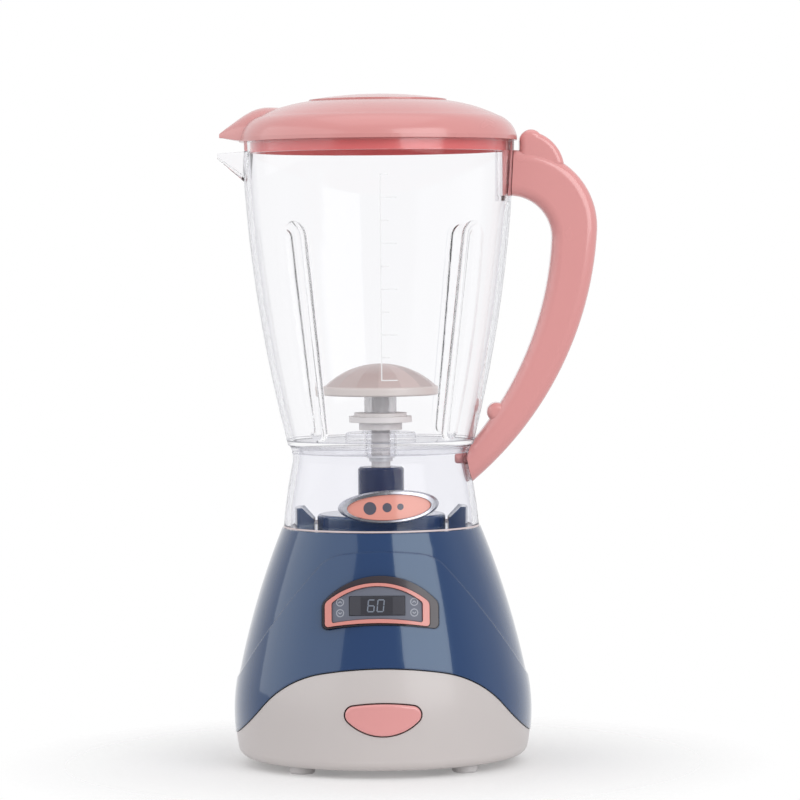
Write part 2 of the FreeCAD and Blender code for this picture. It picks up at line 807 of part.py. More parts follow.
def window_block(grow, back):
    return block((-window_width / 2 - grow, -panel_bow_radius, window_foot - grow),
                 (window_width / 2 + grow, back, window_foot + window_height + grow))


def display_window():
    """Dark window over the figures."""
    bow = Part.makeCylinder(panel_bow_radius - window_step, FAR, Vector(0, panel_bow_radius, -FAR / 2), AXIS_Z)
    return on_panel(window_block(0, display_step + window_depth).common(bow))


# ---- motor and drive ----
def motor_profile(grow, low_z, high_z):
    """Round motor body with two flats."""
    round_body = cylinder(motor_radius + grow, low_z, high_z)
    flats = block((-FAR, -motor_flats / 2 - grow, low_z), (FAR, motor_flats / 2 + grow, high_z))
    return round_body.common(flats)


def motor_can():
    top = bracket_z() + motor_length
    low = bracket_z() + motor_cap_length
    nose = cylinder(motor_nose_radius, top - 0.5, top + motor_nose_height)
    can = joined([motor_profile(0, low, top), nose])
    inside = motor_profile(-can_wall, low, top - can_wall)
    return can.cut([inside, cylinder(motor_shaft_radius + bearing_gap, low, top + motor_nose_height + 1)])


def motor_end_cap():
    """Plastic end bell with the rear bearing."""
    low = bracket_z()
    cap = motor_profile(0, low, low + motor_cap_length)
    plug = motor_profile(-can_wall - seat_gap, low + motor_cap_length - 0.5, low + motor_cap_length + 1.0)
    return joined([cap, plug]).cut(cylinder(motor_shaft_radius + bearing_gap, low + 0.6, FAR))


def motor_bracket():
    """Cup under the motor, screwed up to two posts of the upper shell."""
    top = bracket_z()
    low = top - bracket_thickness
    arms = block((-bracket_screw_x, -4.5, low), (bracket_screw_x, 4.5, top))
    ends = [cylinder(4.5, low, top, side * bracket_screw_x) for side in (-1, 1)]
    plate = cylinder(motor_radius + bracket_rim, low, top)
    rim = motor_profile(bracket_rim, top - 0.5, top + bracket_grip)
    rim = rim.cut(cylinder(bracket_boss_radius + seat_gap, top, FAR, bracket_screw_x))
    rim = rim.cut(cylinder(bracket_boss_radius + seat_gap, top, FAR, -bracket_screw_x))
    whole = joined([arms, plate, rim] + ends).cut(motor_profile(seat_gap, top, FAR))
    holes = [cylinder(screw_radius + 0.2, low - 1, top + 1, side * bracket_screw_x) for side in (-1, 1)]
    return whole.cut(holes)


def bracket_screws():
    low = bracket_z() - bracket_thickness - screw_head_height
    return group([screw(side * bracket_screw_x, 0, low, low + bracket_screw_length + screw_head_height)
                  for side in (-1, 1)])


def motor_shaft():
    """Steel spindle with its armature."""
    low = bracket_z() + 0.9
    high = plateau_z + cup_lift + cup_floor
    core_low = bracket_z() + motor_cap_length + 2.5
    core_high = bracket_z() + motor_length - can_wall - 2.5
    return joined([cylinder(motor_shaft_radius, low, high), cylinder(armature_radius, core_low, core_high)])


def drive_cup():
    """Cup on the spindle; its six-sided socket turns the blade's shaft."""
    low = plateau_z + cup_lift
    high = low + cup_height
    cup = cylinder(cup_radius, low, high)
    cup = cup.makeChamfer(0.5, [e for e in cup.Edges if e.BoundBox.ZLength < 0.01])
    socket = hexagon(dog_flats + 2 * slide_gap, low + cup_floor, high + 1)
    return cup.cut([socket, cylinder(motor_shaft_radius, low - 1, low + cup_floor + 1)])


# ---- jug: collar, jar, handle and badge ----
def collar_form(grow=0.0):
    """The collar's outside, solid, with its wall moved outwards by grow."""
    waist_z = deck_z + collar_waist_height
    flare = ((collar_waist_radius + 2 * collar_top_radius) / 3 - 0.4, (waist_z + collar_top_z) / 2)
    return turned(
        (0, deck_z),
        [(collar_foot_radius + grow, deck_z)],
        [(collar_mid_radius + grow, deck_z + collar_mid_height), (collar_waist_radius + grow, waist_z)],
        [(flare[0] + grow, flare[1]), (collar_top_radius + grow, collar_top_z)],
        [(0, collar_top_z)],
    )


def jar_form(grow=0.0):
    """The jar's outside, solid, with its wall moved outwards by grow."""
    return turned(
        (0, collar_top_z),
        [(jar_foot_radius + grow, collar_top_z)],
        [(jar_mid_radius + grow, collar_top_z + jar_mid_height), (jar_rim_radius + grow, rim_z)],
        [(0, rim_z)],
    )


def jar_radius_at(z):
    ring = jar_form().slice(AXIS_Z, z)[0]
    return ring.BoundBox.XMax


jar_floor_z = collar_top_z + jar_floor_rise
spigot_z = collar_top_z - spigot_depth
peg_z = spigot_z - peg_drop


def jug_collar():
    """Clear skirt of the jug, open below, with a hole for the handle's peg."""
    collar = collar_form().cut(collar_form(-clear_wall))
    peg_hole = Part.makeCylinder(peg_radius + seat_gap, FAR, Vector(0, 0, peg_z), AXIS_X)
    return collar.cut(peg_hole)


def flute(grow):
    """Tapered channel with a round upper end, laid along the wall on the +X side."""
    foot = Vector(jar_radius_at(flute_low_z) + flute_low_radius - flute_low_depth, 0, flute_low_z)
    head = Vector(jar_radius_at(flute_high_z) + flute_high_radius - flute_high_depth, 0, flute_high_z)
    run = head - foot
    cone = Part.makeCone(flute_low_radius + grow, flute_high_radius + grow, run.Length, foot, run)
    top = Part.makeSphere(flute_high_radius + grow, head)
    bottom = Part.makeSphere(flute_low_radius + grow, foot)
    return joined([cone, top, bottom])


def spout_form(grow):
    """V-shaped pouring lip from the wall to its tip; a negative grow gives its channel."""
    root_x = -jar_rim_radius + 1.6
    tip_x = -spout_reach - (0 if grow == 0 else 1.0)
    root_top = rim_z - notch_depth - grow
    tip_top = root_top - 0.4
    tip_bottom = rim_z - notch_depth - 0.4 - spout_tip_rise - grow

    def section(x, half, low, high):
        points = [Vector(x, -half, high), Vector(x, -half * 0.32, low + 0.12 * (high - low)), Vector(x, 0, low),
                  Vector(x, half * 0.32, low + 0.12 * (high - low)), Vector(x, half, high)]
        return outline(points[0], [points[1]], [points[2], points[3]], [points[4]])

    root = section(root_x, spout_half_width + grow, rim_z - spout_drop - 1.2 * grow, root_top)
    tip = section(tip_x, 1.5 + 0.6 * grow, tip_bottom, tip_top)
    return Part.makeLoft([root, tip], True, True)


def handle_socket(grow, low_z, half_width, inner_x):
    """Upright block on the handle side of the jar, from low_z past the rim."""
    return block((inner_x, -half_width - grow, low_z), (FAR, half_width + grow, FAR))


def jar():
    """Clear tapered jar with four flutes, a pouring lip, a floor boss and the handle's socket."""
    outer = jar_form()
    inside = jar_form(-clear_wall).common(cylinder(FAR, jar_floor_z, rim_z))
    wall = outer.cut(inside)
    floor = cylinder(collar_waist_radius - clear_wall - seat_gap, spigot_z, jar_floor_z)
    boss = cylinder(floor_boss_radius, jar_floor_z - 0.5, jar_floor_z + floor_boss_height)
    boss = boss.makeFillet(0.8, [e for e in boss.Edges if e.BoundBox.ZMin > jar_floor_z])
    angles = [flute_turn + side * flute_angle + half_turn for side in (-1, 1) for half_turn in (0, 180)]
    ridge = flute(clear_wall).common(jar_form(-clear_wall / 2)).common(cylinder(FAR, jar_floor_z, rim_z))
    ridges = [turned_copy(ridge, a) for a in angles]
    socket = handle_socket(socket_wall, tenon_foot_z - socket_wall, tenon_half_width,
                           tenon_inner_x - socket_wall)
    socket = socket.common(jar_form(-0.3))
    spout = spout_form(0).cut(jar_form(-clear_wall / 2))
    whole = joined([wall, floor, boss, spout, socket] + ridges)
    neck = handle_socket(seat_gap, tenon_foot_z - seat_gap, neck_half_width, tenon_inner_x)
    slot = block((tenon_inner_x - seat_gap, -tenon_half_width - seat_gap, tenon_foot_z - seat_gap),
                 (tenon_inner_x + tenon_thickness + seat_gap, tenon_half_width + seat_gap, FAR))
    channel = spout_form(-spout_wall)
    notch = block((-FAR, -spout_half_width + spout_wall, rim_z - notch_depth),
                  (-jar_rim_radius + 3 * clear_wall, spout_half_width - spout_wall, FAR))
    bore = cylinder(shaft_radius + bearing_gap + bush_wall, 0, FAR)
    return whole.cut([turned_copy(flute(0), a) for a in angles] + [neck, slot, channel, notch, bore])


def grip_outline():
    """Side view of the grip: an arm above, sweeping down to a foot that runs into the collar."""
    lean = math.radians(grip_lean)
    root_x = jar_rim_radius - grip_root_depth
    foot_x_in = collar_waist_radius - grip_foot_depth

    def round_bend(centre, radius):
        """The arm's quarter turn, ended a little past upright."""
        half = (math.pi / 2 - lean) / 2
        middle = (centre[0] + radius * math.cos(half), centre[1] + radius * math.sin(half))
        return [middle, (centre[0] + radius * math.cos(lean), centre[1] - radius * math.sin(lean))]

    outer = round_bend(grip_outer_centre, grip_outer_radius)
    inner = round_bend(grip_inner_centre, grip_inner_radius)
    down = (-math.sin(lean), -math.cos(lean))
    sweep = bends(outer[1], down, [(foot_x_in, grip_foot_z)])[0]
    back = bends(inner[1], down, [(foot_x_in, grip_foot_z + grip_foot_height)])[0]
    return outline(
        Vector(root_x, 0, grip_outer_centre[1] + grip_outer_radius),
        upright([(grip_outer_centre[0], grip_outer_centre[1] + grip_outer_radius)]),
        upright(outer),
        upright(sweep),
        upright([back[1]]),
        upright([back[0], inner[1]]),
        upright([inner[0], (grip_inner_centre[0], grip_inner_centre[1] + grip_inner_radius)]),
        upright([(root_x, grip_inner_centre[1] + grip_inner_radius)]),
    )


def thumb_outline():
    """Side view of the thumb rest that stands on the arm, close behind the lid."""
    x, z = thumb_centre
    slope = math.radians(thumb_slope)
    leave = math.pi / 2 - slope
    peak = (x + thumb_radius * math.cos(leave), z + thumb_radius * math.sin(leave))
    middle = (leave + math.pi) / 2
    foot = (peak[0] + thumb_length * math.cos(slope), peak[1] - thumb_length * math.sin(slope))
    back = ((peak[0] + foot[0]) / 2 + thumb_bulge * math.sin(slope),
            (peak[1] + foot[1]) / 2 + thumb_bulge * math.cos(slope))
    base_z = grip_outer_centre[1] + grip_outer_radius - thumb_root_depth
    return outline(
        Vector(x - thumb_radius, 0, base_z),
        upright([(x - thumb_radius, z)]),
        upright([(x + thumb_radius * math.cos(middle), z + thumb_radius * math.sin(middle)), peak]),
        upright([back, foot]),
        upright([(foot[0] - thumb_root_depth / 4, base_z)]),
    )


def level_edges(shape, least):
    """Edges of a prism's two side faces that are longer than least."""
    return [e for e in shape.Edges if e.BoundBox.YLength < 0.01 and e.Length > least]


def handle():
    """Pink handle with rounded edges, a T-shaped tenon above and a peg at its foot."""
    half = handle_thickness / 2
    grip = through(grip_outline(), -half, half)
    grip = grip.makeFillet(handle_edge, level_edges(grip, grip_outer_radius))
    thumb = through(thumb_outline(), -half + thumb_inset, half - thumb_inset)
    thumb = thumb.makeFillet(thumb_edge, level_edges(thumb, 0))
    stop = rod_y(finger_stop_radius, -half + finger_stop_inset, half - finger_stop_inset, *finger_stop_centre)
    stop = stop.makeFillet(thumb_edge, [e for e in stop.Edges if e.BoundBox.YLength < 0.01])
    grip = joined([grip, thumb, stop]).cut([jar_form(seat_gap), collar_form(seat_gap)])
    tenon = block((tenon_inner_x, -tenon_half_width, tenon_foot_z),
                  (tenon_inner_x + tenon_thickness, tenon_half_width, rim_z - 0.2))
    neck = block((tenon_inner_x, -neck_half_width, tenon_foot_z),
                 (jar_rim_radius + 1.5, neck_half_width, grip_outer_centre[1] + grip_outer_radius))
    peg_x = collar_waist_radius - clear_wall - peg_reach
    peg_length = collar_waist_radius + peg_root - peg_x
    peg = Part.makeCylinder(peg_radius, peg_length, Vector(peg_x, 0, peg_z), AXIS_X)
    peg = peg.makeFillet(0.7, [e for e in peg.Edges if e.BoundBox.XMax < peg_x + 0.01])
    return joined([grip, tenon, neck, peg])


def badge_oval(half_width, half_height, y):
    """Upright ellipse in front of the collar, tilted a little."""
    wire = Part.Wire(Part.Ellipse(ORIGIN, half_width, half_height).toShape())
    wire.rotate(ORIGIN, AXIS_X, 90)
    wire.rotate(ORIGIN, AXIS_Y, -badge_tilt)
    wire.translate(Vector(0, y, badge_z))
    return wire


def badge_opening(grow):
    """Straight prism inside the rim's bands."""
    oval = badge_oval(badge_half_width - badge_side_band + grow, badge_half_height - badge_level_band + grow, 0)
    return through(oval, -FAR, -collar_waist_radius / 2)


def badge_rim():
    """Oval rim that lies on the collar, with a sloping edge."""
    end_y = -math.sqrt(collar_mid_radius ** 2 - badge_half_width ** 2)
    sections = []
    for y in (-collar_foot_radius - badge_proud, -collar_waist_radius / 2):
        sections.append(badge_oval(badge_half_width + badge_side_draft * (y - end_y),
                                   badge_half_height + badge_level_draft * (y + collar_mid_radius), y))
    plate = Part.makeLoft(sections, True, True)
    plate = plate.common(collar_form(badge_proud)).cut(collar_form(seat_gap / 2))
    return turned_copy(plate.cut(badge_opening(0)), badge_turn)


def badge_insert():
    """Coral oval inside the rim."""
    inset = badge_opening(-seat_gap)
    inset = inset.common(collar_form(badge_proud - badge_step)).cut(collar_form(seat_gap / 2))
    return turned_copy(inset, badge_turn)


# ---- blade and its shaft ----
bush_top_z = jar_floor_z + floor_boss_height + bush_flange_height
flange_z = bush_top_z + slide_gap
flange_top_z = flange_z + sum(height for _, height in flange_steps)
blade_z = flange_top_z + spacer_height


def shaft_bush():
    """Bearing bush in the jar's floor."""
    bore = shaft_radius + bearing_gap
    outer = bore + bush_wall
    sleeve = cylinder(outer - seat_gap / 5, spigot_z, bush_top_z)
    flange = cylinder(outer + bush_flange, bush_top_z - bush_flange_height, bush_top_z)
    return joined([sleeve, flange]).cut(cylinder(bore, 0, FAR))


def blade_shaft():
    """Stepped shaft: six-sided end below, thrust flanges above the bush, bored for the pin."""
    dog_low = plateau_z + cup_lift + cup_floor + slide_gap + 0.2
    dog_high = plateau_z + cup_lift + cup_height
    pieces = [hexagon(dog_flats, dog_low, dog_high + 0.5), cylinder(shaft_radius, dog_high, flange_z + 0.5)]
    low = flange_z
    for radius, height in flange_steps:
        pieces.append(cylinder(radius, low, low + height))
        low += height
    return joined(pieces).cut(cylinder(pin_radius, flange_top_z - pin_depth, FAR))


def shaft_clip():
    """Retaining ring under the jar's floor, with a stepped lower edge."""
    high = spigot_z - slide_gap
    low = high - clip_height
    ring = joined([cylinder(clip_radius, low, high), cylinder(clip_radius - 0.6, low - 0.9, low)])
    return ring.cut(cylinder(shaft_radius, 0, FAR))


def blade_pin():
    return cylinder(pin_radius, flange_top_z - pin_depth, blade_z + pin_depth)


def blade_spacer():
    return tube(spacer_radius, pin_radius, flange_top_z, blade_z)


def blade():
    """Umbrella-shaped stirrer: a flat-edged disc under a dome of panels that are flat across."""
    top = blade_z + blade_height
    dome_foot = blade_z + blade_rim
    rim = cylinder(blade_radius, blade_z, dome_foot)
    rim = rim.makeFillet(0.5, [e for e in rim.Edges if e.BoundBox.ZLength < 0.01])
    low_z = dome_foot - 0.3
    panel = through(outline(
        Vector(-blade_radius, 0, low_z),
        upright([(blade_radius - blade_ledge, low_z)]),
        upright(crown(blade_radius - blade_ledge, low_z, top)),
        upright([(-blade_radius, top)]),
    ), -blade_radius, blade_radius)
    panels = [turned_copy(panel, blade_turn + 360 / blade_panels * k) for k in range(blade_panels)]
    dome = panels[0].common(cylinder(blade_radius, low_z, top))
    for cut_panel in panels[1:]:
        dome = dome.common(cut_panel)
    return joined([rim, dome]).cut(cylinder(pin_radius, 0, blade_z + pin_depth))


# ---- lid ----
def lid_dome(inset=0.0):
    """The lid's dome, solid; inset gives the room under it."""
    shoulder_z = rim_z + lid_shoulder_height - 0.4 * inset
    crown = ((lid_shoulder_radius + cap_radius) / 2 - inset, (shoulder_z + lid_top_z - inset) / 2 + 0.6)
    return turned(
        (0, rim_z),
        [(brim_radius - inset, rim_z)],
        [(brim_radius - inset, rim_z + brim_height)],
        [(brim_radius - inset - 1.1, rim_z + brim_height + 2.6), (lid_shoulder_radius - inset, shoulder_z)],
        [crown, (cap_radius - inset, lid_top_z - inset)],
        [(0, lid_top_z - inset)],
    )


def beak():
    """Ridge that runs out over the spout, narrowing and lifting to its tip."""
    wires = []
    for reach, half, foot, ridge in beak_sections:
        wires.append(outline(Vector(-reach, -half, rim_z + foot),
                             [Vector(-reach, 0, rim_z + ridge), Vector(-reach, half, rim_z + foot)]))
    return Part.makeLoft(wires, True)


def lid():
    """Pink lid: dome, beak over the spout, plug ring inside the jar and a seat for the cap."""
    plug_radius = jar_radius_at(rim_z - plug_depth) - clear_wall - slide_gap
    plug = tube(plug_radius, plug_radius - plug_wall, rim_z - plug_depth, rim_z + 0.8)
    plug = plug.cut(block((0, -plug_notch_half_width, 0), (FAR, plug_notch_half_width, rim_z)))
    mouth = cylinder(plug_radius - plug_wall, rim_z - plug_depth, rim_z + brim_height)
    hollow = lid_dome(lid_wall).common(cylinder(plug_radius - plug_wall, rim_z, FAR))
    seat = cylinder(cap_radius + seat_gap, lid_top_z - cap_seat, FAR)
    return joined([lid_dome(), beak(), plug]).cut([mouth, hollow, seat])


def lid_cap():
    """Round cap pressed into the top of the lid."""
    low = lid_top_z - cap_seat
    edge = lid_top_z + cap_edge
    return turned((0, low), [(cap_radius, low)], [(cap_radius, edge)], crown(cap_radius, edge, cap_top_z))


NODES = [
    upper_housing, lower_housing, battery_door, battery_door_screw, housing_screws, feet, batteries,
    battery_contacts, push_button, button_spring, switch_plunger, switch_body, switch_board,
    panel_bezel, panel_frame, display_panel, display_window, motor_can, motor_end_cap, motor_bracket,
    bracket_screws, motor_shaft, drive_cup, jug_collar, jar, handle, badge_rim, badge_insert,
    shaft_bush, blade_shaft, shaft_clip, blade_pin, blade_spacer, blade, lid, lid_cap,
]

os.makedirs("parts", exist_ok=True)
for make in NODES:
    make().exportStep("parts/" + make.__name__ + ".step")
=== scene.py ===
import json
import math

import bmesh
import bpy
from mathutils import Matrix, Vector
from mathutils.bvhtree import BVHTree


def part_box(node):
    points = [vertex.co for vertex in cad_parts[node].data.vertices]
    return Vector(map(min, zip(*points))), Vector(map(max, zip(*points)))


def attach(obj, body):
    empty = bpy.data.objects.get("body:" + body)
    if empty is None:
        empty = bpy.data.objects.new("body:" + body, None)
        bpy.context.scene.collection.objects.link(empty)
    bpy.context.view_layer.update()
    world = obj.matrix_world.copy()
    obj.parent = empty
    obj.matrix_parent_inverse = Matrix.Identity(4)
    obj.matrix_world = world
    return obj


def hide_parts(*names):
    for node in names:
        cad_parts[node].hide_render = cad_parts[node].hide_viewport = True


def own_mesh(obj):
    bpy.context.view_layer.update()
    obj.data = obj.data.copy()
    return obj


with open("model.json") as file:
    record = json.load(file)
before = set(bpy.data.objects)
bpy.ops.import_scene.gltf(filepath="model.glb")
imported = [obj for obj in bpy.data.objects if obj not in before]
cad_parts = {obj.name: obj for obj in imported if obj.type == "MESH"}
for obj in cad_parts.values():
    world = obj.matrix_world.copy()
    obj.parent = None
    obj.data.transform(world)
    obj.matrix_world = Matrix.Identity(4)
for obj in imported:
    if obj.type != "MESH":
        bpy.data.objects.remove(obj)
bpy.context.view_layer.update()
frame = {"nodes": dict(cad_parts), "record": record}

MM = 0.001
WHITE = (1.0, 1.0, 1.0, 1.0)

# ---- camera: in front, at the height of the upper jar, aimed lower and a little right of the drive axis ----
CAMERA_PLACE = Vector((0.0, -977.0, 130.6)) * MM
CAMERA_TARGET = Vector((5.0, 0.0, 92.2)) * MM
CAMERA_LENS = 172.8
CAMERA_SENSOR = 36.0
CAMERA_ROLL = math.radians(-0.5)

# ---- sizes shared with the CAD: places read from its nodes, and numbers that its source has too ----
window_low, window_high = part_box("display_window")
door_screw_low, door_screw_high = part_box("battery_door_screw")
blade_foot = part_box("blade")[0].z
BLADE_PANELS = 15
BLADE_RIDGE = math.radians(4.0)             # direction of one ridge between two panels
BLADE_RIM_HEIGHT = 2.3 * MM
HOUSING_SCREW_X = 13.0 * MM
HOUSING_SCREW_Y = 25.0 * MM
PANEL_LEAN = math.radians(9.0)
COLLAR_FOOT_RADIUS = 24.9 * MM

# heights over which a piece's painted lower colour gives way to its upper one: painted shade on the lid's
# plug, a painted highlight on the stirrer's rim
LID_PLUG_SHADE_FADE = (157.4 * MM, 158.2 * MM)
RIM_BLEND = 0.1 * MM
BLADE_RIM_HIGHLIGHT_FADE = (blade_foot + BLADE_RIM_HEIGHT - RIM_BLEND, blade_foot + BLADE_RIM_HEIGHT + RIM_BLEND)


# ---- node helpers ----
class Nodes:
    """A material's node tree, with the few links that every finish here uses."""

    def __init__(self, name):
        self.material = bpy.data.materials.new(name)
        self.material.use_nodes = True
        self.tree = self.material.node_tree
        self.shader = self.tree.nodes["Principled BSDF"]
        self.place = self.add("ShaderNodeTexCoord").outputs["Object"]

    def add(self, kind, **values):
        node = self.tree.nodes.new(kind)
        for key, value in values.items():
            setattr(node, key, value)
        return node

    def link(self, start, end):
        self.tree.links.new(start, end)

    def noise(self, scale, detail=2.0, stretch=(1.0, 1.0, 1.0), distortion=0.0):
        """Noise over the object's own coordinates; scale is in waves per metre."""
        spread = self.add("ShaderNodeMapping")
        spread.inputs["Scale"].default_value = stretch
        self.link(self.place, spread.inputs["Vector"])
        noise = self.add("ShaderNodeTexNoise")
        noise.inputs["Scale"].default_value = scale
        noise.inputs["Detail"].default_value = detail
        noise.inputs["Distortion"].default_value = distortion
        self.link(spread.outputs["Vector"], noise.inputs["Vector"])
        return noise.outputs["Fac"]

    def spread(self, value, low, high, source=(0.3, 0.7)):
        """Value taken from the source range to the range from low to high."""
        ranged = self.add("ShaderNodeMapRange")
        ranged.inputs["From Min"].default_value = source[0]
        ranged.inputs["From Max"].default_value = source[1]
        ranged.inputs["To Min"].default_value = low
        ranged.inputs["To Max"].default_value = high
        self.link(value, ranged.inputs["Value"])
        return ranged.outputs["Result"]

    def mix(self, factor, first, second):
        """Colour between two; each is a colour or another node's output."""
        blend = self.add("ShaderNodeMix", data_type="RGBA")
        for socket, value in zip(blend.inputs[6:8], (first, second)):
            if isinstance(value, tuple):
                socket.default_value = value
            else:
                self.link(value, socket)
        if isinstance(factor, float):
            blend.inputs["Factor"].default_value = factor
        else:
            self.link(factor, blend.inputs["Factor"])
        return blend.outputs[2]

    def relief(self, height, depth, strength=1.0, soften=0.0):
        """Bump from a height of 0 to 1, depth in metres, over edges softened by a small radius."""
        bump = self.add("ShaderNodeBump")
        bump.inputs["Strength"].default_value = strength
        bump.inputs["Distance"].default_value = depth
        self.link(height, bump.inputs["Height"])
        if soften:
            edge = self.add("ShaderNodeBevel", samples=4)
            edge.inputs["Radius"].default_value = soften
            self.link(edge.outputs["Normal"], bump.inputs["Normal"])
        self.link(bump.outputs["Normal"], self.shader.inputs["Normal"])

    def height(self):
        """Height of the shaded place, in metres."""
        split = self.add("ShaderNodeSeparateXYZ")
        self.link(self.place, split.inputs["Vector"])
        return split.outputs["Z"]

    def panel_shade(self, count, ridge):
        """Value from 0 to 1 that steps at each ridge round the piece's axis."""
        sides = self.add("ShaderNodeSeparateXYZ")
        self.link(self.place, sides.inputs["Vector"])
        angle = self.add("ShaderNodeMath", operation="ARCTAN2")
        self.link(sides.outputs["Y"], angle.inputs[0])
        self.link(sides.outputs["X"], angle.inputs[1])
        turns = self.add("ShaderNodeMath", operation="MULTIPLY_ADD")
        self.link(angle.outputs["Value"], turns.inputs[0])
        turns.inputs[1].default_value = count / math.tau
        turns.inputs[2].default_value = count * (1.0 - ridge / math.tau)
        panel = self.add("ShaderNodeMath", operation="FLOOR")
        self.link(turns.outputs["Value"], panel.inputs[0])
        tone = self.add("ShaderNodeTexWhiteNoise", noise_dimensions="1D")
        self.link(panel.outputs["Value"], tone.inputs["W"])
        return tone.outputs["Value"]

    def put(self, **values):
        """Plain values on the shader, by socket name with underscores for spaces."""
        for key, value in values.items():
            self.shader.inputs[key.replace("_", " ")].default_value = value


def colour(red, green, blue):
    """Colour from 0 to 255 screen values, as the shader wants it."""
    def linear(value):
        value /= 255.0
        return value / 12.92 if value <= 0.04045 else ((value + 0.055) / 1.055) ** 2.4
    return (linear(red), linear(green), linear(blue), 1.0)


def shade(base, factor):
    """A colour made darker or lighter by a factor."""
    return (base[0] * factor, base[1] * factor, base[2] * factor, 1.0)


def moulded(name, base, rough=0.3, variety=0.05, grain=9000.0, grain_depth=0.004 * MM, soften=0.25 * MM,
            coat=0.0, coat_rough=0.08, panel_shading=False, painted_foot=None, **shader):
    """Injection-moulded plastic: slow flow mottling, fine grain, faint handling haze.

    grain is in waves per metre. The panel switch gives each of the stirrer's panels its own painted shade,
    for the light that falls differently on each facet. The foot pair is a colour painted on the foot of the
    piece in place of the light and shade there, and the heights over which it fades. Other names are values
    on the shader.
    """
    n = Nodes(name)
    flow = n.noise(30.0, 1.0, stretch=(1.0, 1.0, 0.45), distortion=0.15)
    fine = n.noise(grain, 2.0)
    body = n.mix(n.spread(flow, 0.0, 1.0, source=(0.15, 0.85)), shade(base, 1.0 - variety),
                 shade(base, 1.0 + variety))
    if panel_shading:
        # painted shade: each of the stirrer's panels darkened by its own amount, for the light that falls
        # differently on each facet
        body = n.mix(n.panel_shade(BLADE_PANELS, BLADE_RIDGE), body, shade(base, DARKEST_PANEL_SHADE))
    # painted light and shade on the piece's foot, giving way to its own colour over the given heights
    if painted_foot:
        foot, fade = painted_foot
        body = n.mix(n.spread(n.height(), 1.0, 0.0, source=fade), body, foot)
    n.link(n.mix(n.spread(fine, 0.0, 0.35), body, shade(base, 0.97)), n.shader.inputs["Base Color"])
    haze = n.noise(90.0, 2.0, distortion=0.2)
    n.link(n.spread(haze, rough * 0.9, rough * 1.1, source=(0.15, 0.85)), n.shader.inputs["Roughness"])
    n.put(IOR=1.5, Coat_Weight=coat, Coat_Roughness=coat_rough, **shader)
    n.relief(fine, grain_depth, soften=soften)
    return n.material


def clear(name, tint, rough=0.0, ior=1.12, ripple=0.01 * MM, coat=0.2, milk=0.0, straight=0.0):
    """Clear moulding with flow ripples and a trace of wear; it bends light little and casts no shadow.

    milk is the share of light that it scatters, and straight the share that passes without bending.
    """
    n = Nodes(name)
    flow = n.noise(55.0, 2.0, stretch=(1.0, 1.0, 0.3), distortion=0.6)
    wear = n.noise(1400.0, 3.0, stretch=(1.0, 1.0, 0.15))
    slant = n.add("ShaderNodeLayerWeight")
    slant.inputs["Blend"].default_value = 0.5
    body = n.mix(n.spread(flow, 0.0, 1.0), shade(tint, 0.995), tint)
    # darker where seen at a slant: tint of the longer path through the plastic, and painted shade for the
    # lines at edges and flutes
    n.link(n.mix(n.spread(slant.outputs["Facing"], 0.0, 1.0, source=(0.65, 1.0)), body, EDGE_TINT_AND_SHADE),
           n.shader.inputs["Base Color"])
    n.link(n.spread(wear, rough, rough + 0.02), n.shader.inputs["Roughness"])
    n.put(IOR=ior, Transmission_Weight=1.0 - milk, Coat_Weight=coat, Coat_Roughness=0.02)
    n.relief(flow, ripple, strength=0.5, soften=0.5 * MM)
    path = n.add("ShaderNodeLightPath")
    unlit = n.add("ShaderNodeMath", operation="MAXIMUM")
    n.link(path.outputs["Is Shadow Ray"], unlit.inputs[0])
    n.link(path.outputs["Is Diffuse Ray"], unlit.inputs[1])
    passed = n.add("ShaderNodeMath", operation="MAXIMUM")
    n.link(unlit.outputs["Value"], passed.inputs[0])
    passed.inputs[1].default_value = straight
    through = n.add("ShaderNodeBsdfTransparent")
    through.inputs["Color"].default_value = CLEAR_SHADOW
    both = n.add("ShaderNodeMixShader")
    n.link(passed.outputs["Value"], both.inputs["Fac"])
    n.link(n.shader.outputs["BSDF"], both.inputs[1])
    n.link(through.outputs["BSDF"], both.inputs[2])
    n.link(both.outputs["Shader"], n.tree.nodes["Material Output"].inputs["Surface"])
    return n.material


def metal(name, base, rough=0.28, stretch=(1.0, 1.0, 12.0), metallic=1.0):
    """Drawn or plated metal with fine lines and a dull patch here and there."""
    n = Nodes(name)
    lines = n.noise(2600.0, 3.0, stretch=stretch)
    dull = n.noise(300.0, 3.0)
    n.link(n.mix(n.spread(lines, 0.0, 1.0), shade(base, 0.86), shade(base, 1.05)),
           n.shader.inputs["Base Color"])
    n.link(n.spread(dull, rough * 0.8, rough * 1.4), n.shader.inputs["Roughness"])
    n.put(Metallic=metallic)
    n.relief(lines, 0.003 * MM)
    return n.material


EDGE_TINT_AND_SHADE = colour(188, 188, 200)           # clear pieces where they are seen at a slant: the tint of the longer path through the plastic, with painted shade for the dark lines that bent light draws at edges and flutes
CLEAR_SHADOW = (0.985, 0.985, 0.988, 1.0)   # light that passes straight through one clear surface
DARKEST_PANEL_SHADE = 0.66                        # painted shade: the stirrer's darkest panel against its palest
# painted shade: how much the lines where clear pieces meet cover
JOINT_SHADE_COVER = 0.5
NAVY = colour(45, 69, 111)
BLUE_SHINE = (0.72, 0.96, 1.0, 1.0)
GREY = colour(206, 199, 197)
PINK = colour(233, 161, 159)
LID_PINK = colour(222, 151, 149)
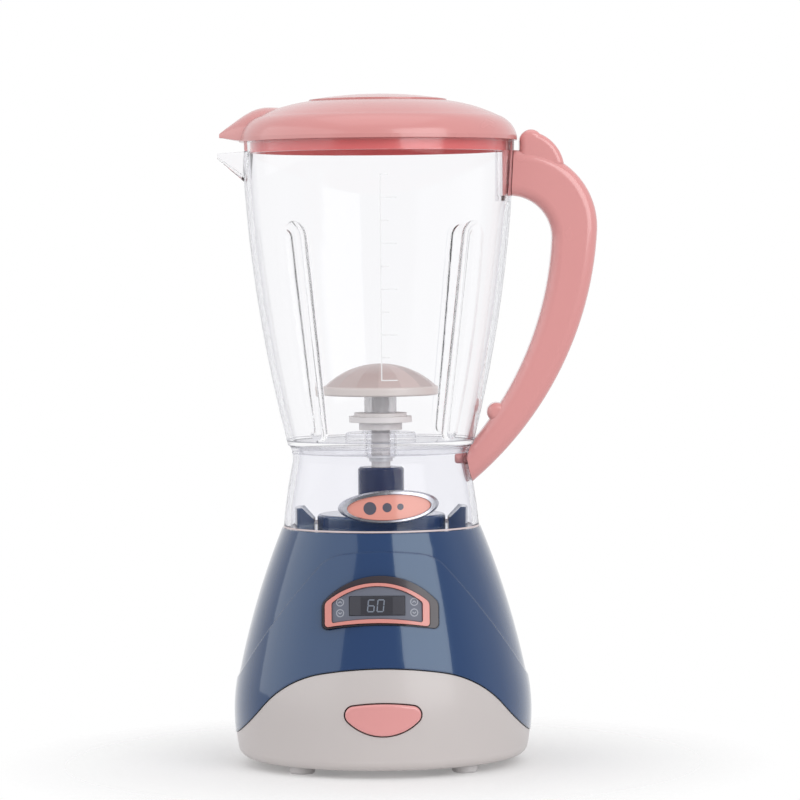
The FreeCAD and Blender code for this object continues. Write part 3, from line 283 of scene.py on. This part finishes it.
# painted shade: the lid's plug, deeper and redder in the shadow of the rim and behind the clear jar wall
PLUG_SHADE_PINK = colour(244, 112, 112)
PANEL_PINK = colour(224, 148, 140)
BADGE_CORAL = colour(236, 160, 146)
GRAPHITE = colour(66, 60, 66)
PANEL_GREY = colour(112, 116, 130)
WINDOW = colour(76, 76, 83)
SCREEN_COLOUR = colour(62, 62, 69)
SCALE_COLOUR = colour(251, 251, 252)
PRINT = colour(176, 180, 190)
DIGIT = colour(128, 136, 150)
BLADE = colour(224, 209, 205)
# painted highlight: the stirrer's rim, paler than its dome
BLADE_RIM_HIGHLIGHT = colour(229, 221, 217)

# by the record's material slots
FINISHES = {
    "navy_plastic": moulded("moulded_navy", NAVY, rough=0.12, variety=0.06, coat=0.7, coat_rough=0.03,
                            grain_depth=0.001 * MM, soften=0.6 * MM, Specular_Tint=BLUE_SHINE),
    "grey_plastic": moulded("moulded_grey", GREY, rough=0.34, variety=0.02, coat=0.15),
    "door_plastic": moulded("textured_grey", shade(GREY, 0.94), rough=0.5, variety=0.03, grain=5200.0,
                            grain_depth=0.02 * MM),
    "pink_plastic": moulded("moulded_pink", PINK, rough=0.26, variety=0.03, coat=0.8, coat_rough=0.06),
    "panel_pink": moulded("frame_pink", PANEL_PINK, rough=0.22, variety=0.03, coat=0.4),
    "badge_coral": moulded("badge_coral", BADGE_CORAL, rough=0.24, variety=0.04, coat=0.6),
    "badge_grey": metal("badge_silver", colour(206, 207, 216), rough=0.26, stretch=(1.0, 1.0, 0.3)),
    "graphite_plastic": moulded("graphite", GRAPHITE, rough=0.22, variety=0.06, coat=0.4),
    "panel_grey": moulded("panel_face", PANEL_GREY, rough=0.42, variety=0.04, grain=7000.0,
                          grain_depth=0.008 * MM),
    "window_dark": moulded("display_window", WINDOW, rough=0.1, variety=0.04, coat=0.8),
    "clear_plastic": clear("clear_moulding", colour(254, 254, 255)),
    "spacer_clear": clear("frosted_sleeve", colour(246, 246, 248), rough=0.04, coat=0.3, milk=0.4),
    # the stirrer: painted shade on its panels, a painted highlight on its rim
    "blade_plastic": moulded("blade_pale_painted_light", BLADE, rough=0.3, variety=0.02, coat=0.3, panel_shading=True,
                             painted_foot=(BLADE_RIM_HIGHLIGHT, BLADE_RIM_HIGHLIGHT_FADE)),
    "shaft_plastic": moulded("shaft_pale", colour(248, 244, 243), rough=0.4, variety=0.02),
    "bush_plastic": clear("bearing_natural", colour(250, 250, 252), ior=1.05, coat=0.05, straight=0.6),
    "cup_plastic": moulded("cup_dark", colour(56, 66, 98), rough=0.2, variety=0.05, coat=0.3),
    "steel": metal("bright_steel", colour(188, 188, 192)),
    "can_steel": metal("plated_can", colour(176, 178, 182), rough=0.34, stretch=(1.0, 1.0, 0.2)),
    "inner_plastic": moulded("inner_plain", colour(205, 203, 198), rough=0.5, variety=0.03),
    "switch_black": moulded("switch_black", colour(40, 40, 43), rough=0.42, variety=0.08),
    "board_brown": moulded("board", colour(138, 104, 62), rough=0.6, variety=0.12, grain=3000.0),
    "contact_nickel": metal("nickel_strip", colour(196, 193, 184), rough=0.22),
    "cell_jacket": moulded("cell_jacket", colour(66, 70, 76), rough=0.3, variety=0.05, coat=0.3),
    "rubber_grey": moulded("pad_rubber", colour(212, 209, 209), rough=0.75, variety=0.06, grain=4000.0,
                           grain_depth=0.03 * MM),
}

for entry in frame["record"]["subparts"]:
    piece = frame["nodes"][entry["node"]]
    piece.data.materials.clear()
    piece.data.materials.append(FINISHES[entry["material_slot"]])

# pieces that look a little different from the rest of their slot: the lid with painted shade on its plug, the
# pin and clip with painted light
lid_pink_shaded_plug = moulded("lid_pink_shaded_plug", LID_PINK, rough=0.26, variety=0.03, coat=0.6, coat_rough=0.1,
                   painted_foot=(PLUG_SHADE_PINK, LID_PLUG_SHADE_FADE))
# painted light: a paler copy of the steel for the pin and clip, making up for the shade under the stirrer
pin_painted_light = metal("pin_painted_light", colour(248, 248, 250), rough=0.3, metallic=0.1)
clear_collar = clear("clear_collar", colour(249, 249, 252))
OWN_FINISHES = {"lid": lid_pink_shaded_plug, "lid_cap": lid_pink_shaded_plug, "blade_pin": pin_painted_light, "shaft_clip": pin_painted_light,
                "jug_collar": clear_collar}
for node, finish in OWN_FINISHES.items():
    frame["nodes"][node].data.materials[0] = finish

# ---- the button's spring: its own copy of the CAD's spring, fixed to the base ----
spring = bpy.data.objects.new("button_coil", frame["nodes"]["button_spring"].data.copy())
bpy.context.scene.collection.objects.link(spring)
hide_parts("button_spring")
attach(spring, "base")
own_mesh(spring)

# ---- prints, a painted highlight and painted shade: thin flat pieces laid on the CAD's own surfaces ----
PRINT_LIFT = 0.04 * MM
UPPER_PRINT_LIFT = 2 * PRINT_LIFT
WINDOW_FOOT = 2.9 * MM              # display window, from the foot of the panel and from its front plane
WINDOW_FRONT = 0.25 * MM
WINDOW_BACK = 1.3 * MM

# what is printed, with the painted highlight, the painted shade lines and the painted recess shade, in
# millimetres
RING_RADIUS = 1.0
RING_LINE = 0.24
RING_X = 9.15
RING_Z = (3.5, 6.15)
CHEVRON_REACH = 0.42                # chevron in a ring, from the ring's middle to its ends, feet and tip
CHEVRON_FOOT = 0.18
CHEVRON_TIP = 0.24
CHEVRON_LINE = 0.22
SCREEN = (-4.05, 3.05, 3.85, 7.3)   # left, foot, right, top
DIGIT_HEIGHT = 2.9
DIGIT_WIDTH = 1.55
DIGIT_LINE = 0.3
DIGIT_GAP = 0.09                    # between the ends of two bars
DIGIT_STEP = 2.35
DIGIT_SLANT = 0.1
FIGURES_SHIFT = 0.05                # the two figures, from the middle of the screen
BADGE_MIDDLE = (2.05, 66.5)
BADGE_TILT = math.radians(2.5)
BADGE_DOTS = ((-4.9, 1.6), (-0.6, 1.15), (2.7, 0.8))    # place along the badge, radius
FOOT_HIGHLIGHT = (60.12, 60.55)          # painted highlight along the clear collar's foot edge: from, to
JOINT_SHADE_LINES = (             # painted shade lines where clear pieces meet: name, node, from, to
    ("jar_floor_shade", "jar", 82.25, 82.5),
    ("jar_foot_shade", "jar", 81.05, 81.3),
    ("collar_top_shade", "jug_collar", 80.5, 80.7),
    ("jar_spigot_shade", "jug_collar", 79.0, 79.3),
)
SCALE_FOOT_Z = 98.0
SCALE_TOP_Z = 149.0
SCALE_STEP = 5.65
SCALE_LINE = 0.28
SCALE_X = 0.4
LONG_TICK = 4.0
SHORT_TICK = 2.0
RECESS_REACH = 1.5
RECESS_LINE = 0.45

# strips in which a print follows a round surface
SCREEN_STRIPS = 8
COLLAR_STRIPS = 120
TICK_STRIPS = 4
STEM_STRIPS = 24

SEGMENTS = {"6": "acdefg", "0": "abcdef"}


def surface(node, lift):
    """Function that finds the place, lift short of it, where a ray meets a CAD node."""
    piece = frame["nodes"][node]
    mesh = bmesh.new()
    mesh.from_mesh(piece.data)
    mesh.transform(piece.matrix_world)
    tree = BVHTree.FromBMesh(mesh)
    mesh.free()

    def hit(origin, way):
        point = tree.ray_cast(origin, way)[0]
        return point - way * lift
    return hit


def printed(name, shapes, node, ray, material, body, lift=PRINT_LIFT):
    """Flat shapes, each a closed run of (u, v) points, laid on a node where ray(u, v) meets it."""
    hit = surface(node, lift)
    mesh = bmesh.new()
    for shape in shapes:
        mesh.faces.new([mesh.verts.new(hit(*ray(u * MM, v * MM))) for u, v in shape])
    data = bpy.data.meshes.new(name)
    mesh.to_mesh(data)
    mesh.free()
    data.materials.append(material)
    piece = bpy.data.objects.new(name, data)
    bpy.context.scene.collection.objects.link(piece)
    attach(piece, body)


def stroke(points, width):
    """Four-cornered bars along a run of points."""
    bars = []
    for (ax, ay), (bx, by) in zip(points, points[1:]):
        length = math.hypot(bx - ax, by - ay)
        ox, oy = (ay - by) / length * width / 2, (bx - ax) / length * width / 2
        bars.append([(ax + ox, ay + oy), (ax - ox, ay - oy), (bx - ox, by - oy), (bx + ox, by + oy)])
    return bars


def ring(x, y, radius, width, steps=28):
    """Ring of short bars."""
    points = [(x + radius * math.cos(math.tau * k / steps), y + radius * math.sin(math.tau * k / steps))
              for k in range(steps + 1)]
    return stroke(points, width)


def rectangle(low_x, low_y, high_x, high_y):
    """Corners of a rectangle, in order."""
    return [(low_x, low_y), (high_x, low_y), (high_x, high_y), (low_x, high_y)]


def dot(x, y, radius, slices=12, blunt=0.04):
    """Round spot in upright slices, blunt at both ends, so that it can follow a bowed surface."""
    cuts = [math.pi * (1 - blunt - (1 - 2 * blunt) * k / slices) for k in range(slices + 1)]
    edges = [(x + radius * math.cos(cut), radius * math.sin(cut)) for cut in cuts]
    return [[(ax, y - ah), (bx, y - bh), (bx, y + bh), (ax, y + ah)]
            for (ax, ah), (bx, bh) in zip(edges, edges[1:])]


def strips(low_x, low_y, high_x, high_y, count):
    """A rectangle in upright strips, so that it can follow a bowed surface."""
    step = (high_x - low_x) / count
    return [rectangle(low_x + k * step, low_y, low_x + (k + 1) * step, high_y) for k in range(count)]


def digit(name, x, y):
    """Slanted seven-segment figure with its lower left corner at (x, y)."""
    w, h, gap = DIGIT_WIDTH, DIGIT_HEIGHT / 2, DIGIT_GAP
    ends = {
        "a": ((gap, 2 * h), (w - gap, 2 * h)), "b": ((w, h + gap), (w, 2 * h - gap)),
        "c": ((w, gap), (w, h - gap)), "d": ((gap, 0), (w - gap, 0)), "e": ((0, gap), (0, h - gap)),
        "f": ((0, h + gap), (0, 2 * h - gap)), "g": ((gap, h), (w - gap, h)),
    }
    return [bar for part in SEGMENTS[name]
            for bar in stroke([(x + u + v * DIGIT_SLANT, y + v) for u, v in ends[part]], DIGIT_LINE)]


# where the rays start that lay a print: off the panel, before the axis, under the table, round the axis
PANEL_START = 20 * MM
FRONT_START = 100 * MM
LOW_START = 10 * MM
SIDE_START = 60 * MM


def panel_ray(u, v):
    """Straight into the control panel; u and v are measured from the middle of the frame's foot."""
    inward = Vector((0, math.cos(PANEL_LEAN), -math.sin(PANEL_LEAN)))
    up = Vector((0, math.sin(PANEL_LEAN), math.cos(PANEL_LEAN)))
    front_edge = up * WINDOW_FOOT + inward * WINDOW_FRONT
    back_edge = up * WINDOW_FOOT + inward * WINDOW_BACK
    middle = (window_low.x + window_high.x) / 2
    foot = Vector((middle, window_low.y - front_edge.y, window_low.z - back_edge.z))
    return foot + Vector((u, 0, 0)) + up * v - inward * PANEL_START, inward


def front_ray(u, v):
    """Level, from in front towards the back."""
    return Vector((u, -FRONT_START, v)), Vector((0, 1, 0))


def rising_ray(u, v):
    """Straight up, from below the table."""
    return Vector((u, v, -LOW_START)), Vector((0, 0, 1))


def inward_ray(u, v):
    """Level, towards the drive axis; u runs round it at the radius of the collar's foot."""
    turn = u / COLLAR_FOOT_RADIUS
    outward = Vector((math.cos(turn), math.sin(turn), 0))
    return outward * SIDE_START + Vector((0, 0, v)), -outward


ring_print = moulded("ring_print", PRINT, rough=0.4, variety=0.05)
figure_print = moulded("figure_print", DIGIT, rough=0.35, variety=0.05)
screen_print = moulded("screen_print", SCREEN_COLOUR, rough=0.1, variety=0.06, coat=0.8)
scale_print = moulded("scale_print", SCALE_COLOUR, rough=0.5, variety=0.05)
dot_print = moulded("badge_dot", colour(92, 92, 106), rough=0.3, variety=0.05, coat=0.5)
# painted highlight: a thin pale line along the clear collar's foot edge
foot_painted_highlight = moulded("foot_highlight", colour(232, 214, 214), rough=0.35, variety=0.04, coat=0.3)
# painted shade: thin grey lines where clear pieces meet, for the dark lines that the air gaps draw
joint_painted_shade = moulded("joint_shade_line", colour(196, 196, 208), rough=0.4, variety=0.05, Alpha=JOINT_SHADE_COVER)
# painted shade: dark crosses for the hollows in the screw heads
recess_painted_shade = moulded("screw_recess", colour(60, 60, 62), rough=0.6, variety=0.1)

rings = []
for x in (-RING_X, RING_X):
    for z, way in zip(RING_Z, (-1, 1)):
        rings += ring(x, z, RING_RADIUS - RING_LINE / 2, RING_LINE)
        foot, tip = z - CHEVRON_FOOT * way, z + CHEVRON_TIP * way
        rings += stroke([(x - CHEVRON_REACH, foot), (x, tip), (x + CHEVRON_REACH, foot)], CHEVRON_LINE)
printed("panel_rings", rings, "display_panel", panel_ray, ring_print, "base")
printed("display_screen", strips(*SCREEN, SCREEN_STRIPS), "display_window", panel_ray, screen_print, "base")
figure_x = (SCREEN[0] + SCREEN[2]) / 2 + FIGURES_SHIFT
figure_z = (SCREEN[1] + SCREEN[3] - DIGIT_HEIGHT) / 2
figures = digit("6", figure_x - DIGIT_STEP, figure_z) + digit("0", figure_x, figure_z)
printed("display_figures", figures, "display_window", panel_ray, figure_print, "base", UPPER_PRINT_LIFT)

spots = []
for along, radius in BADGE_DOTS:
    spots += dot(BADGE_MIDDLE[0] + along * math.cos(BADGE_TILT),
                 BADGE_MIDDLE[1] + along * math.sin(BADGE_TILT), radius)
printed("badge_dots", spots, "badge_insert", front_ray, dot_print, "jug")

way_round = math.tau * COLLAR_FOOT_RADIUS / MM
# painted highlight along the collar's foot
printed("collar_foot_highlight", strips(0.0, FOOT_HIGHLIGHT[0], way_round, FOOT_HIGHLIGHT[1], COLLAR_STRIPS), "jug_collar",
        inward_ray, foot_painted_highlight, "jug")
for name, node, low, high in JOINT_SHADE_LINES:
    printed(name, strips(0.0, low, way_round, high, COLLAR_STRIPS), node, inward_ray, joint_painted_shade, "jug")

marks = []
for k in range(math.ceil((SCALE_TOP_Z - SCALE_FOOT_Z) / SCALE_STEP)):
    z = SCALE_FOOT_Z + k * SCALE_STEP
    tick = SHORT_TICK if k % 2 else LONG_TICK
    marks += strips(SCALE_X, z, SCALE_X + tick, z + SCALE_LINE, TICK_STRIPS)
stem_step = (SCALE_TOP_Z - SCALE_FOOT_Z) / STEM_STRIPS
for k in range(STEM_STRIPS):
    z = SCALE_FOOT_Z + k * stem_step
    marks.append(rectangle(SCALE_X - SCALE_LINE / 2, z, SCALE_X + SCALE_LINE / 2, z + stem_step))
printed("jar_scale", marks, "jar", front_ray, scale_print, "jug")


def recess_shade_crosses(node, places):
    """Dark cross painted in the head of each screw of a node, as the shade in its recess; places are in
    metres.
    """
    crosses = []
    for x, y in ((x / MM, y / MM) for x, y in places):
        crosses += stroke([(x - RECESS_REACH, y), (x + RECESS_REACH, y)], RECESS_LINE)
        crosses += stroke([(x, y - RECESS_REACH), (x, y + RECESS_REACH)], RECESS_LINE)
    printed(node + "_recess", crosses, node, rising_ray, recess_painted_shade, "base")


recess_shade_crosses("housing_screws", [(x, y) for x in (-HOUSING_SCREW_X, HOUSING_SCREW_X)
                                  for y in (-HOUSING_SCREW_Y, HOUSING_SCREW_Y)])
door_screw = (door_screw_low + door_screw_high) / 2
recess_shade_crosses("battery_door_screw", [(door_screw.x, door_screw.y)])


# ---- studio ----
# brightness of the room by height, and of its shine from front to back
ROOM_STOPS = ((-1.0, 0.75), (-0.1, 0.52), (0.3, 0.5), (1.0, 0.7))
SHINE_STOPS = ((-1.0, 0.18), (-0.5, 0.26), (0.15, 0.56), (1.0, 0.9))
ROOM_BLUE = 1.01            # the room's blue against its red and green

SOFTBOX_TARGET = (0.0, 0.0, 0.08)
SOFTBOXES = (               # name, place, size, watts
    ("left_softbox", (-0.95, -0.25, 0.5), (1.7, 0.9), 3.8),
    ("right_softbox", (0.62, -0.80, 0.5), (0.8, 0.9), 5.4),
    ("top_softbox", (0.0, -0.1, 1.1), (0.9, 0.9), 1.3),
)

FLOOR_RADIUS = 0.9
FLOOR_FADE = (0.042, 0.1)   # distances from the drive axis over which the floor gives way to the backdrop
FLOOR_COVER = 0.8
FLOOR_TONES = ((0.93, 0.93, 0.93, 1.0), (0.96, 0.96, 0.96, 1.0))


def backdrop():
    """White to the camera and through clear pieces; a dimmer room for shine and soft light."""
    world = bpy.data.worlds.new("studio")
    bpy.context.scene.world = world
    world.use_nodes = True
    tree = world.node_tree
    tree.nodes.clear()

    def add(kind, **values):
        node = tree.nodes.new(kind)
        for key, value in values.items():
            setattr(node, key, value)
        return node

    def graded(value, stops):
        """Colour that changes with one part of the direction, from -1 to 1."""
        shift = add("ShaderNodeMapRange")
        shift.inputs["From Min"].default_value = -1.0
        shift.inputs["From Max"].default_value = 1.0
        ramp = add("ShaderNodeValToRGB")
        ramp.color_ramp.interpolation = "EASE"
        while len(ramp.color_ramp.elements) < len(stops):
            ramp.color_ramp.elements.new(0.5)
        for element, (place, level) in zip(ramp.color_ramp.elements, stops):
            element.position = (place + 1) / 2
            element.color = (level, level, level * ROOM_BLUE, 1.0)
        tree.links.new(value, shift.inputs["Value"])
        tree.links.new(shift.outputs["Result"], ramp.inputs["Fac"])
        return ramp.outputs["Color"]

    place = add("ShaderNodeTexCoord")
    split = add("ShaderNodeSeparateXYZ")
    tree.links.new(place.outputs["Generated"], split.inputs["Vector"])
    room = add("ShaderNodeBackground")
    tree.links.new(graded(split.outputs["Z"], ROOM_STOPS), room.inputs["Color"])
    shine = add("ShaderNodeBackground")
    tree.links.new(graded(split.outputs["Y"], SHINE_STOPS), shine.inputs["Color"])
    white = add("ShaderNodeBackground")
    white.inputs["Color"].default_value = WHITE
    path = add("ShaderNodeLightPath")
    mirrored = add("ShaderNodeMath", operation="GREATER_THAN")      # also a shine seen through clear pieces
    tree.links.new(path.outputs["Glossy Depth"], mirrored.inputs[0])
    mirrored.inputs[1].default_value = 0.5
    choices = ((path.outputs["Is Transmission Ray"], white), (mirrored.outputs["Value"], shine),
               (path.outputs["Is Camera Ray"], white))
    chosen = room.outputs["Background"]
    for kind, background in choices:
        choice = add("ShaderNodeMixShader")
        tree.links.new(kind, choice.inputs["Fac"])
        tree.links.new(chosen, choice.inputs[1])
        tree.links.new(background.outputs["Background"], choice.inputs[2])
        chosen = choice.outputs["Shader"]
    out = add("ShaderNodeOutputWorld")
    tree.links.new(chosen, out.inputs["Surface"])


def softbox(name, place, size, watts):
    """Soft rectangular light that faces the object."""
    data = bpy.data.lights.new(name, "AREA")
    data.shape = "RECTANGLE"
    data.size, data.size_y = size
    data.energy = watts
    lamp = bpy.data.objects.new(name, data)
    lamp.location = place
    lamp.rotation_euler = (Vector(SOFTBOX_TARGET) - Vector(place)).to_track_quat("-Z", "Y").to_euler()
    bpy.context.scene.collection.objects.link(lamp)


def floor():
    """Pale floor that fades out into the white backdrop."""
    bpy.ops.mesh.primitive_circle_add(vertices=96, radius=FLOOR_RADIUS, fill_type="NGON", location=(0, 0, 0))
    disc = bpy.context.object
    disc.name = "floor"
    n = Nodes("pale_floor")
    n.put(Roughness=0.6, IOR=1.3)
    speck = n.noise(900.0, 3.0)
    n.link(n.mix(n.spread(speck, 0.0, 1.0), *FLOOR_TONES), n.shader.inputs["Base Color"])
    length = n.add("ShaderNodeVectorMath", operation="LENGTH")
    n.link(n.place, length.inputs[0])
    n.link(n.spread(length.outputs["Value"], FLOOR_COVER, 0.0, source=FLOOR_FADE), n.shader.inputs["Alpha"])
    disc.data.materials.append(n.material)


backdrop()
floor()
for softbox_values in SOFTBOXES:
    softbox(*softbox_values)

camera = bpy.data.objects.new("camera", bpy.data.cameras.new("camera"))
camera.data.lens = CAMERA_LENS
camera.data.sensor_width = CAMERA_SENSOR
camera.location = CAMERA_PLACE
look = (CAMERA_TARGET - CAMERA_PLACE).to_track_quat("-Z", "Y").to_matrix()
camera.rotation_euler = (look @ Matrix.Rotation(CAMERA_ROLL, 3, "Z")).to_euler()
bpy.context.scene.collection.objects.link(camera)
bpy.context.scene.camera = camera
bpy.context.scene.view_settings.view_transform = "Standard"
